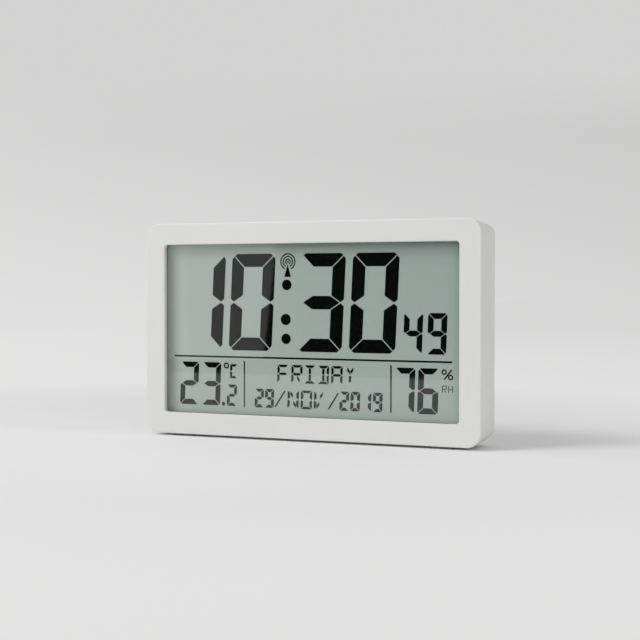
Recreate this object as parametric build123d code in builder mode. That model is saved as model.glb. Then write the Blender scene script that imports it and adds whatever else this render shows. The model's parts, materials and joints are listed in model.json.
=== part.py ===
from build123d import *
from math import atan, degrees
import os

# Thermometer hygrometer clock: white moulded case standing upright, display to the front.
# X runs to the right seen from the front, Y to the back, Z up. Millimetres.
# The origin is under the middle of the case, on the surface that its feet stand on.

# Case outline
case_width = 206.0
case_height = 122.0
case_inset = 2.1            # each side draws in by this much from the face to the back
corner_radius = 8.4
face_edge_radius = 0.7
rear_edge_chamfer = 0.4
face_wall = 2.5
side_wall = 2.2
rim_wall = 1.3              # wall beside the rear cover
rim_proud = 0.4             # the rim stands this much behind the cover

# Window in the face
frame_margin = 12.4
window_radius = 2.0
window_edge_chamfer = 0.4
lens_thickness = 1.5
lens_overlap = 2.4
lens_radius = 3.0
lens_gap = 0.2
lens_rib = 1.0

# Posts in the front shell
post_inset = 8.4
post_radius = 2.8
gusset = 1.2
gusset_weld = 0.2
frame_post_size = 4.2
frame_post_gap = 0.2
frame_post_inset = 37.6     # from the end of the display frame

# Display glass
glass_thickness = 1.1
glass_post_gap = 0.4
seal_thickness = 0.1
seal_width = 0.6
view_overlap = 0.8          # the rear glass runs this far behind the face
contact_ledge = 2.6         # the front glass stands this far past the rear glass, above and below
reflector_thickness = 0.3
foam_thickness = 0.3
foam_width = 1.8
foam_end_gap = 8.0

# Frame that holds the glass, and the rubber connectors in it
web_thickness = 1.2
frame_wall = 1.0
frame_gap = 0.2
ear_width = 9.0
ear_thickness = 1.6
zebra_gap = 0.25
zebra_inset = 5.4           # from the end of the glass

# Main board
board_thickness = 1.6
board_edge_gap = 0.6
board_post_gap = 3.8
dome_radius = 9.0
dome_height = 1.6
dome_place_shares = (-0.14, 0.38)        # of half the board's width and height
crystal_radius = 1.0
crystal_length = 6.0
crystal_place_shares = (0.09, 0.52)
capacitor_radius = 2.5
capacitor_height = 5.0
capacitor_pitch = 9.0
capacitor_count = 2
capacitor_place_shares = (-0.39, -0.52)

# Rear cover
cover_thickness = 2.0
cover_gap = 0.2
locating_rib = 1.2
locating_rib_height = 1.6
locating_rib_gap = 1.0      # between the ribs and the sleeves at the corners
sleeve_size = 5.6
sleeve_height = 2.0

# Screws
case_screw_radius = 1.1
case_screw_length = 12.0
case_head_radius = 2.4
case_head_height = 1.5
board_screw_radius = 0.85
board_screw_length = 6.5
board_head_radius = 1.7
board_head_height = 1.2
pilot_gap = 0.05            # between shank and pilot hole, threads left out
shank_gap = 0.3             # between shank and clearance hole
head_gap = 0.3

# Cells and battery well
cell_radius = 7.25
cell_length = 50.5
cell_play = 0.3
nipple_radius = 2.75
nipple_length = 1.0
well_floor = 1.2
well_wall = 1.4
contact_zone = 0.8          # straight end of the well, for the contact plates
well_edge = 3.2             # from the well to the side edge of the cover
well_base = 13.0            # from the well to the lower edge of the cover
board_clearance = 1.0       # between the well and the main board

# Battery contacts
contact_thickness = 0.4
contact_size = 10.0
contact_gap = 0.05
leaf_reach = 5.0            # from a contact plate to the crown of its leaf spring
leaf_width = 6.0
leaf_foot = 9.4
leaf_crown = 4.0
leaf_thickness = 0.3

# Battery door
door_thickness = 1.6
door_ledge = 0.8
door_gap = 0.25
door_radius = 1.0
hook_width = 8.0
hook_thickness = 1.2
hook_reach = 1.6
hook_neck = 1.4
hook_gap = 0.2
hook_side_gap = 0.4
hook_spread_share = 0.3     # of the door's width, from its middle to each hook
hook_swing_room = 4.2
latch_width = 10.0
latch_thickness = 1.0
latch_depth = 3.4
latch_gap = 0.15
latch_nose = 0.6
latch_nose_height = 1.2
finger_notch_radius = 8.0
finger_notch_depth = 1.0

# Stand
stand_width = 40.0
stand_tip_width = 30.0
stand_length = 55.0
stand_thickness = 3.5
stand_skin = 1.5
stand_rib = 1.5
stand_rib_count = 2
stand_corner_radius = 5.0
stand_flush = 0.1
stand_gap = 0.4
stand_pin_radius = 1.2
stand_pin_length = 2.2
stand_pin_play = 0.06
stand_base = 11.0           # from the lower edge of the cover to the tip of the leg
tray_wall = 1.4
thumb_radius = 8.0
thumb_depth = 2.8

# Keyhole hanger
keyhole_head_radius = 4.25
keyhole_slot_width = 4.2
keyhole_slot_length = 8.0
keyhole_depth = 4.6
keyhole_side_room = 0.5
keyhole_wall = 1.2
keyhole_drop = 19.4         # from the upper edge of the cover to the middle of the head hole

# Buttons and their switches
button_names = ("mode", "plus", "minus", "unit", "receive", "reset")
button_width = 8.0
button_height = 5.0
button_corner = 1.0
button_proud = 0.3          # of the cover's back
button_gap = 0.25
button_seat_gap = 0.1
button_pitch = 11.0
button_flange = 0.8
button_flange_thickness = 1.0
button_edge_chamfer = 0.3
reset_radius = 1.6
reset_sunk = 0.5
row_edge = 5.9              # from the side edge of the cover to the first button
row_drop = 35.4             # from the upper edge of the cover to the middle of the row
switch_size = 6.0
switch_height = 3.5
plunger_size = 3.2
plunger_height = 1.5
plunger_depth = 1.2
plunger_play = 0.08
plunger_room = 2.0          # depth of the hole that the plunger runs in
button_board_thickness = 1.6
button_board_margin = 5.0
button_board_height = 17.0
button_post_size = 4.0
button_post_margin = 2.5    # from the edge of the button board
header_width = 12.0
header_height = 2.5
header_body = 2.5
header_drop = 6.0
header_pin = 0.6
header_pin_count = 5

# Sensor and its vents
sensor_rise = 8.0           # from the battery well to the sensor board
sensor_board_width = 20.0
sensor_board_height = 16.0
sensor_board_thickness = 1.0
sensor_rib = 1.6
sensor_rib_height = 4.0
sensor_size = 5.0
sensor_thickness = 1.2
sensor_window = 2.4
bead_radius = 0.9
bead_length = 2.4
vent_length = 14.0
vent_width = 1.4
vent_pitch = 2.8
vent_count = 6

# Buzzer and its sound slots
buzzer_edge = 26.0          # from the side edge of the cover to the buzzer's frame
buzzer_base = 21.0          # from the lower edge of the cover to the buzzer's frame
buzzer_radius = 10.0
buzzer_thickness = 2.0
buzzer_frame = 1.2
buzzer_step = 1.0
buzzer_gap = 0.2
sound_slot_length = 10.0
sound_slot_width = 1.2
sound_slot_pitch = 3.0
sound_slot_count = 4

# Receiver antenna
antenna_edge = 12.4         # from the side edge of the cover to the end of the rod
antenna_drop = 7.4          # from the upper edge of the cover to the holder
rod_radius = 4.0
rod_length = 62.0
coil_thickness = 1.2
coil_length = 28.0
holder_thickness = 1.5
holder_arm = 3.0
holder_width = 12.0
holder_gap = 0.1
holder_end = 6.0

# Feet
foot_height = 1.2
foot_length = 12.0
foot_width = 5.0
foot_pocket = 0.8
foot_gap = 0.1
foot_inset = 23.0           # from the side of the case
foot_edge = 5.0             # from the face or the back to the middle of a foot

# Depth stations, from the face to the back: each layer rests on the one before it
cell_room = 2 * (cell_radius + cell_play)
case_depth = (face_wall + lens_thickness + foam_thickness + 2 * glass_thickness + seal_thickness
              + reflector_thickness + web_thickness + board_thickness + board_clearance
              + well_floor + cell_room + door_thickness + rim_proud)
face_y = -case_depth / 2
rear_y = case_depth / 2
lens_front_y = face_y + face_wall
lens_back_y = lens_front_y + lens_thickness
glass_front_y = lens_back_y + foam_thickness
seal_front_y = glass_front_y + glass_thickness
rear_glass_front_y = seal_front_y + seal_thickness
reflector_front_y = rear_glass_front_y + glass_thickness
web_front_y = reflector_front_y + reflector_thickness
board_front_y = web_front_y + web_thickness
board_back_y = board_front_y + board_thickness
well_bottom_y = board_back_y + board_clearance
well_floor_y = well_bottom_y + well_floor
door_front_y = well_floor_y + cell_room
cover_back_y = rear_y - rim_proud
cover_front_y = cover_back_y - cover_thickness

# Places measured from the middle of the case
case_z = foot_height + case_height / 2
draft_angle = degrees(atan(case_inset / case_depth))
window_width = case_width - 2 * frame_margin
window_height = case_height - 2 * frame_margin
lens_width = window_width + 2 * lens_overlap
lens_height = window_height + 2 * lens_overlap
post_x = case_width / 2 - post_inset
post_z = case_height / 2 - post_inset
glass_width = 2 * (post_x - post_radius - glass_post_gap)
rear_glass_height = window_height + 2 * view_overlap
front_glass_height = rear_glass_height + 2 * contact_ledge
frame_outer_width = glass_width + 2 * (frame_gap + frame_wall)
frame_outer_height = front_glass_height + 2 * (frame_gap + frame_wall)
frame_post_x = frame_outer_width / 2 - frame_post_inset
frame_post_z = frame_outer_height / 2 + frame_post_gap + frame_post_size / 2
cover_width = case_width - 2 * (case_inset + rim_wall + cover_gap)
cover_height = case_height - 2 * (case_inset + rim_wall + cover_gap)
cover_radius = corner_radius - case_inset - rim_wall - cover_gap

well_length = 2 * (contact_thickness + contact_gap) + leaf_reach + cell_length
well_height = 4 * cell_radius + 3 * cell_play
well_x = cover_width / 2 - well_edge - well_wall - well_length / 2
well_z = -cover_height / 2 + well_base + well_wall + well_height / 2
cell_y = well_floor_y + cell_play + cell_radius
cell_pitch = 2 * cell_radius + cell_play
door_width = well_length + 2 * door_ledge
door_height = well_height + 2 * door_ledge
door_top_z = well_z + door_height / 2
hook_x = door_width * hook_spread_share

stand_back_y = cover_back_y - stand_flush
hinge_y = stand_back_y - stand_thickness / 2
hinge_z = -cover_height / 2 + stand_base + stand_length
tray_floor_y = stand_back_y - stand_thickness - stand_gap

row_length = button_pitch * (len(button_names) - 1)
row_place = (-cover_width / 2 + row_edge + (button_width + row_length) / 2, cover_height / 2 - row_drop)
sensor_place = (well_x, well_z + well_height / 2 + well_wall + sensor_rise + sensor_board_height / 2)
buzzer_reach = buzzer_radius + buzzer_gap + buzzer_frame
buzzer_place = (-cover_width / 2 + buzzer_edge + buzzer_reach, -cover_height / 2 + buzzer_base + buzzer_reach)
antenna_place = (cover_width / 2 - antenna_edge - rod_length / 2,
                 cover_height / 2 - antenna_drop - holder_width / 2)
keyhole_z = cover_height / 2 - keyhole_drop


def case_shrink(y):
    """How far each side of the case has drawn in at depth y."""
    return case_inset * (y - face_y) / case_depth


def front_plane(y):
    """The plane at depth y that faces the front, centred on the case."""
    return Plane(origin=(0, y, case_z), x_dir=(1, 0, 0), z_dir=(0, -1, 0))


def back_plane(y):
    """The plane at depth y that faces the back, centred on the case."""
    return Plane(origin=(0, y, case_z), x_dir=(-1, 0, 0), z_dir=(0, 1, 0))


def side_plane(x):
    """The plane across the case at x: its first direction is Y, its second is Z."""
    return Plane(origin=(x, 0, case_z), x_dir=(0, 1, 0), z_dir=(1, 0, 0))


def finish(piece, name):
    """Name a finished piece and write it."""
    piece.part.label = name
    export_step(piece.part, f"parts/{name}.step")


def wall_margin(y):
    """From the outline of the face to the inner side of the side wall at depth y."""
    return side_wall + case_shrink(y)


# Front shell: one moulding with drafted sides, the window, posts for the rear cover and the display frame
cavity_y = lens_front_y
post_top_y = cover_front_y - sleeve_height
rib_margin = wall_margin(cavity_y) - gusset_weld
frame_post_top_y = board_front_y - ear_thickness
foot_x = case_width / 2 - foot_inset
feet = [(x, y) for x in (-foot_x, foot_x) for y in (face_y + foot_edge, rear_y - foot_edge)]


def foot_top(y):
    """The height of the top of a foot whose middle is at depth y."""
    return foot_height + case_shrink(y) + foot_pocket


with BuildPart() as front_shell:
    with BuildSketch(front_plane(face_y)):
        RectangleRounded(case_width, case_height, corner_radius)
    extrude(amount=-case_depth, taper=draft_angle)
    fillet(front_shell.faces().sort_by(Axis.Y)[0].edges(), face_edge_radius)
    chamfer(front_shell.faces().sort_by(Axis.Y)[-1].edges(), rear_edge_chamfer)

    # Space inside the walls, and the wider seat of the rear cover
    cavity_margin = wall_margin(cavity_y)
    with BuildSketch(front_plane(cavity_y)):
        RectangleRounded(case_width - 2 * cavity_margin, case_height - 2 * cavity_margin,
                         corner_radius - cavity_margin)
    extrude(amount=-(rear_y - cavity_y), taper=draft_angle, mode=Mode.SUBTRACT)
    with BuildSketch(front_plane(rear_y)):
        RectangleRounded(cover_width + 2 * cover_gap, cover_height + 2 * cover_gap, cover_radius + cover_gap)
    extrude(amount=rear_y - cover_front_y, mode=Mode.SUBTRACT)

    # Window
    with BuildSketch(front_plane(cavity_y)):
        RectangleRounded(window_width, window_height, window_radius)
    extrude(amount=face_wall, mode=Mode.SUBTRACT)
    window_edges = front_shell.faces().sort_by(Axis.Y)[0].inner_wires()[0].edges()
    chamfer(window_edges, window_edge_chamfer)

    # Rib that locates the lens
    with BuildSketch(front_plane(lens_back_y)):
        Rectangle(lens_width + 2 * (lens_gap + lens_rib), lens_height + 2 * (lens_gap + lens_rib))
        RectangleRounded(lens_width + 2 * lens_gap, lens_height + 2 * lens_gap, lens_radius + lens_gap,
                         mode=Mode.SUBTRACT)
    extrude(amount=lens_thickness)

    # Corner posts with their gussets to the side walls
    with BuildSketch(front_plane(post_top_y)):
        with GridLocations(2 * post_x, 2 * post_z, 2, 2):
            Circle(post_radius)
        for side_x in (-1, 1):
            for side_z in (-1, 1):
                with Locations((side_x * (post_x + case_width / 2 - rib_margin) / 2, side_z * post_z)):
                    Rectangle(case_width / 2 - rib_margin - post_x, gusset)
                with Locations((side_x * post_x, side_z * (post_z + case_height / 2 - rib_margin) / 2)):
                    Rectangle(gusset, case_height / 2 - rib_margin - post_z)
    extrude(amount=post_top_y - cavity_y)

    # Posts of the display frame, each with a gusset to the wall beside it
    with BuildSketch(front_plane(frame_post_top_y)):
        with GridLocations(2 * frame_post_x, 2 * frame_post_z, 2, 2):
            Rectangle(frame_post_size, frame_post_size)
        for side_z in (-1, 1):
            with Locations((0, side_z * (frame_post_z + case_height / 2 - rib_margin) / 2)):
                with GridLocations(2 * frame_post_x, 0, 2, 1):
                    Rectangle(gusset, case_height / 2 - rib_margin - frame_post_z)
    extrude(amount=frame_post_top_y - cavity_y)

    # Pilot holes
    with Locations(back_plane(post_top_y)):
        with GridLocations(2 * post_x, 2 * post_z, 2, 2):
            Hole(case_screw_radius + pilot_gap, depth=case_screw_length)
    with Locations(back_plane(frame_post_top_y)):
        with GridLocations(2 * frame_post_x, 2 * frame_post_z, 2, 2):
            Hole(board_screw_radius + pilot_gap, depth=frame_post_top_y - cavity_y)

    # Pockets for the feet
    for foot_place_x, foot_place_y in feet:
        with BuildSketch(Plane.XY):
            with Locations((foot_place_x, foot_place_y)):
                Rectangle(foot_length + 2 * foot_gap, foot_width + 2 * foot_gap)
        extrude(amount=foot_top(foot_place_y), mode=Mode.SUBTRACT)
finish(front_shell, "front_shell")

# Rubber feet, longer at the back because the underside rises with the draft
with BuildPart() as rubber_feet:
    for foot_place_x, foot_place_y in feet:
        with BuildSketch(Plane.XY):
            with Locations((foot_place_x, foot_place_y)):
                Rectangle(foot_length, foot_width)
        extrude(amount=foot_top(foot_place_y))
finish(rubber_feet, "rubber_feet")

# Lens: a clear plate against the inner side of the face
with BuildPart() as display_lens:
    with BuildSketch(front_plane(lens_back_y)):
        RectangleRounded(lens_width, lens_height, lens_radius)
    extrude(amount=lens_thickness)
finish(display_lens, "display_lens")

# Foam strips that keep the glass off the lens, above and below the view
foam_z = window_height / 2 + foam_width / 2
with BuildPart() as foam_strips:
    with BuildSketch(front_plane(glass_front_y)):
        with GridLocations(0, 2 * foam_z, 1, 2):
            Rectangle(glass_width - 2 * foam_end_gap, foam_width)
    extrude(amount=foam_thickness)
finish(foam_strips, "foam_strips")

# Display: the front glass is taller and carries the contacts on its ledges
with BuildPart() as lcd_front_glass:
    with BuildSketch(front_plane(seal_front_y)):
        Rectangle(glass_width, front_glass_height)
    extrude(amount=glass_thickness)
finish(lcd_front_glass, "lcd_front_glass")

with BuildPart() as lcd_seal:
    with BuildSketch(front_plane(rear_glass_front_y)):
        Rectangle(glass_width, rear_glass_height)
        Rectangle(glass_width - 2 * seal_width, rear_glass_height - 2 * seal_width, mode=Mode.SUBTRACT)
    extrude(amount=seal_thickness)
finish(lcd_seal, "lcd_seal")

with BuildPart() as lcd_rear_glass:
    with BuildSketch(front_plane(reflector_front_y)):
        Rectangle(glass_width, rear_glass_height)
    extrude(amount=glass_thickness)
finish(lcd_rear_glass, "lcd_rear_glass")

with BuildPart() as lcd_reflector:
    with BuildSketch(front_plane(web_front_y)):
        Rectangle(glass_width, rear_glass_height)
    extrude(amount=reflector_thickness)
finish(lcd_reflector, "lcd_reflector")

# Display frame: a tray round the glass with slots for the connectors and forked ears for the screws
ear_reach = case_height / 2 - wall_margin(board_back_y) - board_edge_gap
zebra_z = rear_glass_height / 2 + contact_ledge / 2
zebra_width = contact_ledge - 2 * zebra_gap
zebra_length = glass_width - 2 * zebra_inset
fork_width = 2 * (board_screw_radius + shank_gap)
fork_length = ear_reach - frame_post_z + fork_width / 2
with BuildPart() as lcd_frame:
    with BuildSketch(front_plane(board_front_y)):
        Rectangle(frame_outer_width, frame_outer_height)
    extrude(amount=board_front_y - glass_front_y)
    with BuildSketch(front_plane(web_front_y)):
        Rectangle(glass_width + 2 * frame_gap, front_glass_height + 2 * frame_gap)
    extrude(amount=web_front_y - glass_front_y, mode=Mode.SUBTRACT)
    with BuildSketch(front_plane(board_front_y)):
        with GridLocations(2 * frame_post_x, 0, 2, 1):
            Rectangle(ear_width, 2 * ear_reach)
        Rectangle(frame_outer_width, front_glass_height, mode=Mode.SUBTRACT)
    extrude(amount=ear_thickness)
    with BuildSketch(front_plane(board_front_y)):
        with GridLocations(0, 2 * zebra_z, 1, 2):
            Rectangle(zebra_length + 2 * zebra_gap, contact_ledge)
        with GridLocations(2 * frame_post_x, 2 * ear_reach - fork_length, 2, 2):
            Rectangle(fork_width, fork_length)
        with GridLocations(2 * post_x, 2 * post_z, 2, 2):
            Rectangle(2 * (post_radius + glass_post_gap), 2 * (post_radius + glass_post_gap))
    extrude(amount=board_front_y - glass_front_y, mode=Mode.SUBTRACT)
finish(lcd_frame, "lcd_frame")

# Rubber connectors from the ledges of the glass to the board
with BuildPart() as zebra_strips:
    with BuildSketch(front_plane(board_front_y)):
        with GridLocations(0, 2 * zebra_z, 1, 2):
            Rectangle(zebra_length, zebra_width)
    extrude(amount=board_front_y - seal_front_y)
finish(zebra_strips, "zebra_strips")

# Main board with the parts on its back
board_width = 2 * (post_x - post_radius - board_post_gap)
board_height = 2 * ear_reach


def board_place(shares):
    """A place on the main board, from its shares of half the board's width and height."""
    return (shares[0] * board_width / 2, shares[1] * board_height / 2)


with BuildPart() as main_board:
    with BuildSketch(front_plane(board_back_y)):
        Rectangle(board_width, board_height)
        with GridLocations(2 * frame_post_x, 2 * frame_post_z, 2, 2):
            Circle(board_screw_radius + shank_gap, mode=Mode.SUBTRACT)
    extrude(amount=board_thickness)
finish(main_board, "main_board")

# Flat drop of resin over the controller
dome_place = board_place(dome_place_shares)
with BuildPart() as controller_dome:
    with BuildSketch(back_plane(board_back_y)):
        with Locations((-dome_place[0], dome_place[1])):
            Circle(dome_radius)
    extrude(amount=dome_height)
finish(controller_dome, "controller_dome")

crystal_place = board_place(crystal_place_shares)
with BuildPart() as clock_crystal:
    with BuildSketch(side_plane(crystal_place[0])):
        with Locations((board_back_y + crystal_radius, crystal_place[1])):
            Circle(crystal_radius)
    extrude(amount=crystal_length)
finish(clock_crystal, "clock_crystal")

capacitor_place = board_place(capacitor_place_shares)
with BuildPart() as capacitors:
    with BuildSketch(back_plane(board_back_y)):
        with Locations((-capacitor_place[0], capacitor_place[1])):
            with GridLocations(capacitor_pitch, 0, capacitor_count, 1):
                Circle(capacitor_radius)
    extrude(amount=capacitor_height)
finish(capacitors, "capacitors")


# Screws: heads on their seat, shanks pointing to the front
screw_groups = (
    ("board_screws", board_screw_radius, board_screw_length, board_head_radius, board_head_height,
     board_back_y, frame_post_x, frame_post_z),
    ("case_screws", case_screw_radius, case_screw_length, case_head_radius, case_head_height,
     cover_front_y, post_x, post_z),
)
for name, shank_radius, shank_length, head_radius, head_height, seat_y, spread_x, spread_z in screw_groups:
    with BuildPart() as screws:
        with BuildSketch(front_plane(seat_y)):
            with GridLocations(2 * spread_x, 2 * spread_z, 2, 2):
                Circle(shank_radius)
        extrude(amount=shank_length)
        with BuildSketch(back_plane(seat_y)):
            with GridLocations(2 * spread_x, 2 * spread_z, 2, 2):
                Circle(head_radius)
        extrude(amount=head_height)
    finish(screws, name)

# Stand: a leg that folds out of a tray in the cover, on two moulded pins
with BuildSketch() as leg_outline:
    Polygon((-stand_width / 2, hinge_z), (stand_width / 2, hinge_z),
            (stand_tip_width / 2, hinge_z - stand_length), (-stand_tip_width / 2, hinge_z - stand_length),
            align=None)
    fillet(leg_outline.vertices().group_by(Axis.Y)[0], stand_corner_radius)

hollow_top = hinge_z - stand_thickness / 2 - stand_rib
rib_pitch = stand_length / (stand_rib_count + 1)
with BuildPart() as stand:
    with BuildSketch(front_plane(stand_back_y)):
        add(leg_outline.sketch)
    extrude(amount=stand_thickness)
    with BuildSketch(side_plane(-stand_width / 2)):
        with Locations((hinge_y, hinge_z)):
            Circle(stand_thickness / 2)
    extrude(amount=stand_width)
    with BuildSketch(side_plane(-stand_width / 2 - stand_gap - stand_pin_length)):
        with Locations((hinge_y, hinge_z)):
            Circle(stand_pin_radius)
    extrude(amount=stand_width + 2 * (stand_gap + stand_pin_length))

    # Hollow on the inner side, with cross ribs
    with BuildSketch(front_plane(stand_back_y - stand_thickness)):
        add(leg_outline.sketch)
        offset(amount=-stand_rib, kind=Kind.INTERSECTION, mode=Mode.REPLACE)
        with Locations((0, hinge_z)):
            Rectangle(stand_width, 2 * (hinge_z - hollow_top), mode=Mode.SUBTRACT)
        for rib_number in range(stand_rib_count):
            with Locations((0, hinge_z - rib_pitch * (rib_number + 1))):
                Rectangle(stand_width, stand_rib, mode=Mode.SUBTRACT)
    extrude(amount=-(stand_thickness - stand_skin), mode=Mode.SUBTRACT)
finish(stand, "stand")

# Battery door: two hooks at its upper edge, a springy latch at its lower edge
door_bottom_z = well_z - door_height / 2
catch_y = cover_front_y - hook_gap
latch_outer_z = door_bottom_z + door_ledge + latch_gap
with BuildPart() as battery_door:
    with BuildSketch(front_plane(cover_back_y)):
        with Locations((well_x, well_z)):
            RectangleRounded(door_width, door_height, door_radius)
    extrude(amount=door_thickness)
    for side in (-1, 1):
        with BuildSketch(side_plane(well_x + side * hook_x - hook_width / 2)):
            hook_front_y = catch_y - hook_thickness
            with BuildLine():
                Polyline((door_front_y, door_top_z - hook_neck), (hook_front_y, door_top_z - hook_neck),
                         (hook_front_y, door_top_z + hook_reach), (catch_y, door_top_z + hook_reach),
                         (catch_y, door_top_z), (door_front_y, door_top_z), close=True)
            make_face()
        extrude(amount=hook_width)
    with BuildSketch(side_plane(well_x - latch_width / 2)):
        with BuildLine():
            latch_front_y = door_front_y - latch_depth
            Polyline((door_front_y, latch_outer_z), (catch_y, latch_outer_z),
                     (catch_y, latch_outer_z - latch_nose),
                     (catch_y - latch_nose_height, latch_outer_z - latch_nose),
                     (latch_front_y, latch_outer_z), (latch_front_y, latch_outer_z + latch_thickness),
                     (door_front_y, latch_outer_z + latch_thickness), close=True)
        make_face()
    extrude(amount=latch_width)
finish(battery_door, "battery_door")

# Rear cover: the plate with everything moulded on it
socket_depth = stand_gap + stand_pin_length + stand_gap
socket_x = stand_width / 2
socket_reach = socket_depth + tray_wall
socket_half_height = stand_pin_radius + stand_pin_play + tray_wall
button_places = [(row_place[0] - row_length / 2 + button_pitch * number, row_place[1])
                 for number in range(len(button_names))]
key_places = button_places[:-1]
reset_place = button_places[-1]
button_post_x = (row_length - button_pitch) / 2
button_post_z = button_board_height / 2 - button_post_margin
button_posts = [(row_place[0] - button_post_x, row_place[1] + button_post_z),
                (row_place[0] + button_post_x, row_place[1] - button_post_z)]
flange_back_y = cover_front_y - button_seat_gap
plunger_top_y = flange_back_y - button_flange_thickness
switch_back_y = plunger_top_y - plunger_height
button_board_back_y = switch_back_y - switch_height
thumb_z = hinge_z - stand_length
keyhole_room = keyhole_head_radius + keyhole_side_room
keyhole_floor_y = cover_front_y - keyhole_depth
sensor_board_back_y = cover_front_y - sensor_rib_height
hook_notch_front_y = cover_back_y - hook_swing_room - hook_thickness
case_hole_depth = cover_thickness + sleeve_height
buzzer_ledge = buzzer_radius - buzzer_frame


def key_shape(gap):
    """The outline of a button with its corners cut, larger by a gap all round."""
    half_width = button_width / 2 + gap
    half_height = button_height / 2 + gap
    corner_x = button_width / 2 - button_corner
    corner_z = button_height / 2 - button_corner
    Polygon((corner_x, -half_height), (half_width, -corner_z), (half_width, corner_z), (corner_x, half_height),
            (-corner_x, half_height), (-half_width, corner_z), (-half_width, -corner_z), (-corner_x, -half_height),
            align=None)


with BuildPart() as rear_cover:
    with BuildSketch(front_plane(cover_back_y)):
        RectangleRounded(cover_width, cover_height, cover_radius)
    extrude(amount=cover_thickness)

    # Locating ribs just inside the side walls, open at the corners
    rib_inset = wall_margin(cover_front_y) + cover_gap + locating_rib / 2
    rib_stop = sleeve_size / 2 + locating_rib_gap
    with BuildSketch(front_plane(cover_front_y)):
        with GridLocations(case_width - 2 * rib_inset, 0, 2, 1):
            Rectangle(locating_rib, 2 * (post_z - rib_stop))
        with GridLocations(0, case_height - 2 * rib_inset, 1, 2):
            Rectangle(2 * (post_x - rib_stop), locating_rib)
    extrude(amount=locating_rib_height)

    # Sleeves that meet the corner posts, posts and ribs of the two small boards, frame of the buzzer
    with BuildSketch(front_plane(cover_front_y)):
        with GridLocations(2 * post_x, 2 * post_z, 2, 2):
            Rectangle(sleeve_size, sleeve_size)
    extrude(amount=sleeve_height)
    with BuildSketch(front_plane(cover_front_y)):
        with Locations(button_posts):
            Rectangle(button_post_size, button_post_size)
    extrude(amount=cover_front_y - button_board_back_y)
    with BuildSketch(front_plane(cover_front_y)):
        with Locations(sensor_place):
            with GridLocations(sensor_board_width - sensor_rib, 0, 2, 1):
                Rectangle(sensor_rib, sensor_board_height)
    extrude(amount=sensor_rib_height)
    with BuildSketch(front_plane(cover_front_y)):
        with Locations(buzzer_place):
            Rectangle(2 * buzzer_reach, 2 * buzzer_reach)
            Rectangle(2 * buzzer_ledge, 2 * buzzer_ledge, mode=Mode.SUBTRACT)
    extrude(amount=buzzer_step + buzzer_thickness)
    with BuildSketch(front_plane(cover_front_y - buzzer_step)):
        with Locations(buzzer_place):
            Rectangle(2 * (buzzer_radius + buzzer_gap), 2 * (buzzer_radius + buzzer_gap))
    extrude(amount=buzzer_thickness, mode=Mode.SUBTRACT)

    # Outsides of the battery well, the stand's tray and its sockets, the thumb notch, the keyhole pocket
    with BuildSketch(front_plane(cover_front_y)):
        with Locations((well_x, well_z)):
            Rectangle(well_length + 2 * well_wall, well_height + 2 * well_wall)
    extrude(amount=cover_front_y - well_bottom_y)
    with BuildSketch(front_plane(cover_front_y)):
        add(leg_outline.sketch)
        with Locations((0, hinge_z)):
            Rectangle(stand_width, stand_thickness)
        offset(amount=stand_gap + tray_wall, kind=Kind.INTERSECTION, mode=Mode.REPLACE)
    extrude(amount=cover_front_y - tray_floor_y + tray_wall)
    with BuildSketch(front_plane(cover_front_y)):
        with Locations((0, hinge_z)):
            Rectangle(2 * (socket_x + socket_reach), 2 * socket_half_height)
    extrude(amount=cover_front_y - tray_floor_y + tray_wall)
    with BuildSketch(front_plane(cover_front_y)):
        with Locations((0, thumb_z)):
            Rectangle(2 * (thumb_radius + tray_wall), 2 * (thumb_radius + tray_wall))
    extrude(amount=thumb_depth + tray_wall - cover_thickness)
    with BuildSketch(front_plane(cover_front_y)):
        with Locations((0, keyhole_z + keyhole_slot_length / 2)):
            pocket_reach = keyhole_room + keyhole_wall
            Rectangle(2 * pocket_reach, keyhole_slot_length + 2 * pocket_reach)
    extrude(amount=keyhole_depth + keyhole_wall)

    # Battery well: a seat for the door, two troughs for the cells, straight ends for the contacts
    with BuildSketch(front_plane(cover_back_y)):
        with Locations((well_x, well_z)):
            RectangleRounded(door_width + 2 * door_gap, door_height + 2 * door_gap, door_radius + door_gap)
    extrude(amount=door_thickness, mode=Mode.SUBTRACT)
    with BuildSketch(side_plane(well_x - well_length / 2)):
        with Locations((cell_y, well_z - cell_pitch / 2), (cell_y, well_z + cell_pitch / 2)):
            Circle(cell_radius + cell_play)
        with Locations(((cell_y + door_front_y) / 2, well_z)):
            Rectangle(door_front_y - cell_y, well_height)
    extrude(amount=well_length, mode=Mode.SUBTRACT)
    with BuildSketch(front_plane(door_front_y)):
        with Locations((well_x, well_z)):
            with GridLocations(well_length - contact_zone, 0, 2, 1):
                Rectangle(contact_zone, well_height)
    extrude(amount=door_front_y - well_floor_y, mode=Mode.SUBTRACT)

    # Notches for the door's hooks and for its latch
    with BuildSketch(front_plane(door_front_y)):
        with Locations((well_x, well_z + well_height / 2 + well_wall / 2)):
            with GridLocations(2 * hook_x, 0, 2, 1):
                Rectangle(hook_width + 2 * hook_side_gap, well_wall)
    extrude(amount=door_front_y - hook_notch_front_y, mode=Mode.SUBTRACT)
    with BuildSketch(front_plane(cover_front_y)):
        with Locations((well_x, well_z - well_height / 2 - well_wall / 2)):
            Rectangle(latch_width + 2 * hook_side_gap, well_wall)
    extrude(amount=latch_depth, mode=Mode.SUBTRACT)
    with BuildSketch(front_plane(cover_back_y)):
        with Locations((well_x, door_bottom_z)):
            Circle(finger_notch_radius)
        with Locations((well_x, door_bottom_z + finger_notch_radius)):
            Rectangle(2 * finger_notch_radius, 2 * finger_notch_radius, mode=Mode.SUBTRACT)
    extrude(amount=finger_notch_depth, mode=Mode.SUBTRACT)

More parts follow.
